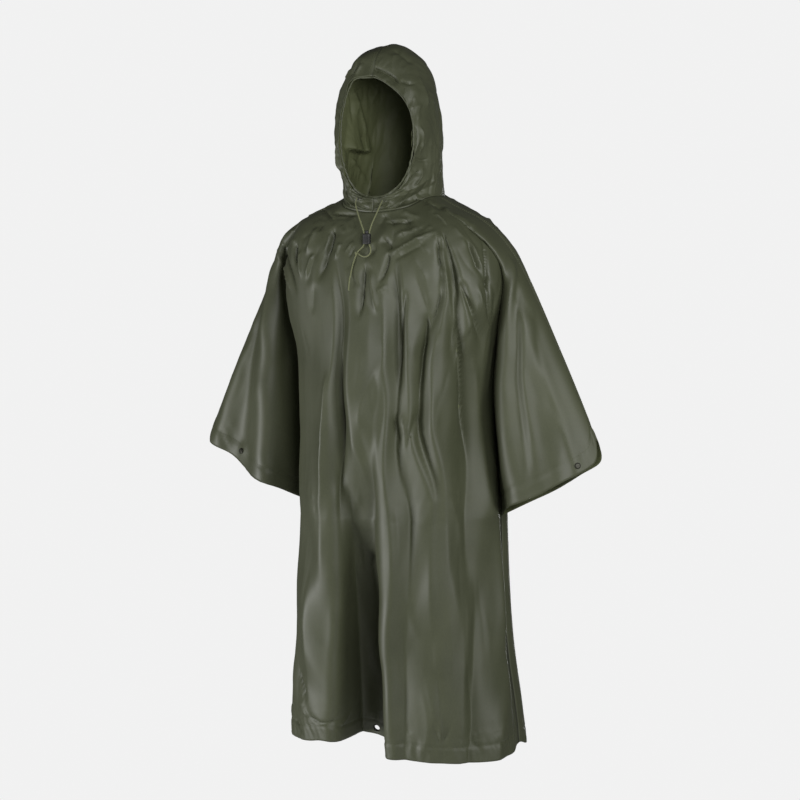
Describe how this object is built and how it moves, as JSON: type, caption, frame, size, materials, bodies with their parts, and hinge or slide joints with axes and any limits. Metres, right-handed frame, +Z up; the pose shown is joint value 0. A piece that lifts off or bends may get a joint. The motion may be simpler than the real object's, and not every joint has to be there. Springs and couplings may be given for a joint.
{
  "type": "hooded rain poncho",
  "caption": "Hooded olive nylon rain poncho in its worn form, with wide sleeves, a drawcord hood and a deep fold at the front hem.",
  "frame": {"origin": "base of the neck, midway between the shoulders, where the wearer's shoulders carry the poncho", "axes": "+Z up, -Y out of the wearer's chest, +X to the wearer's left"},
  "size_m": [0.7914, 0.3659, 1.3039],
  "materials": {
    "cloth": "satin coated nylon",
    "cord": "braided",
    "lock": "matte",
    "metal": "dark lacquer"
  },
  "bodies": {
    "root": {"front_panel": "cloth", "back_panel": "cloth", "hood_left": "cloth", "hood_right": "cloth", "hood_tunnel": "cloth", "cord_right": "cord", "cord_left": "cord", "cord_loop": "cord", "cord_lead": "cord", "cord_tail": "cord", "cord_knot": "cord", "cord_lock": "lock", "cord_lock_button": "lock", "eyelet_right": "metal", "eyelet_left": "metal", "stud_left_front": "metal", "stud_left_back": "metal", "stud_right_front": "metal", "stud_right_back": "metal", "grommet_front": "metal", "grommet_back": "metal"}
  },
  "joints": []
}
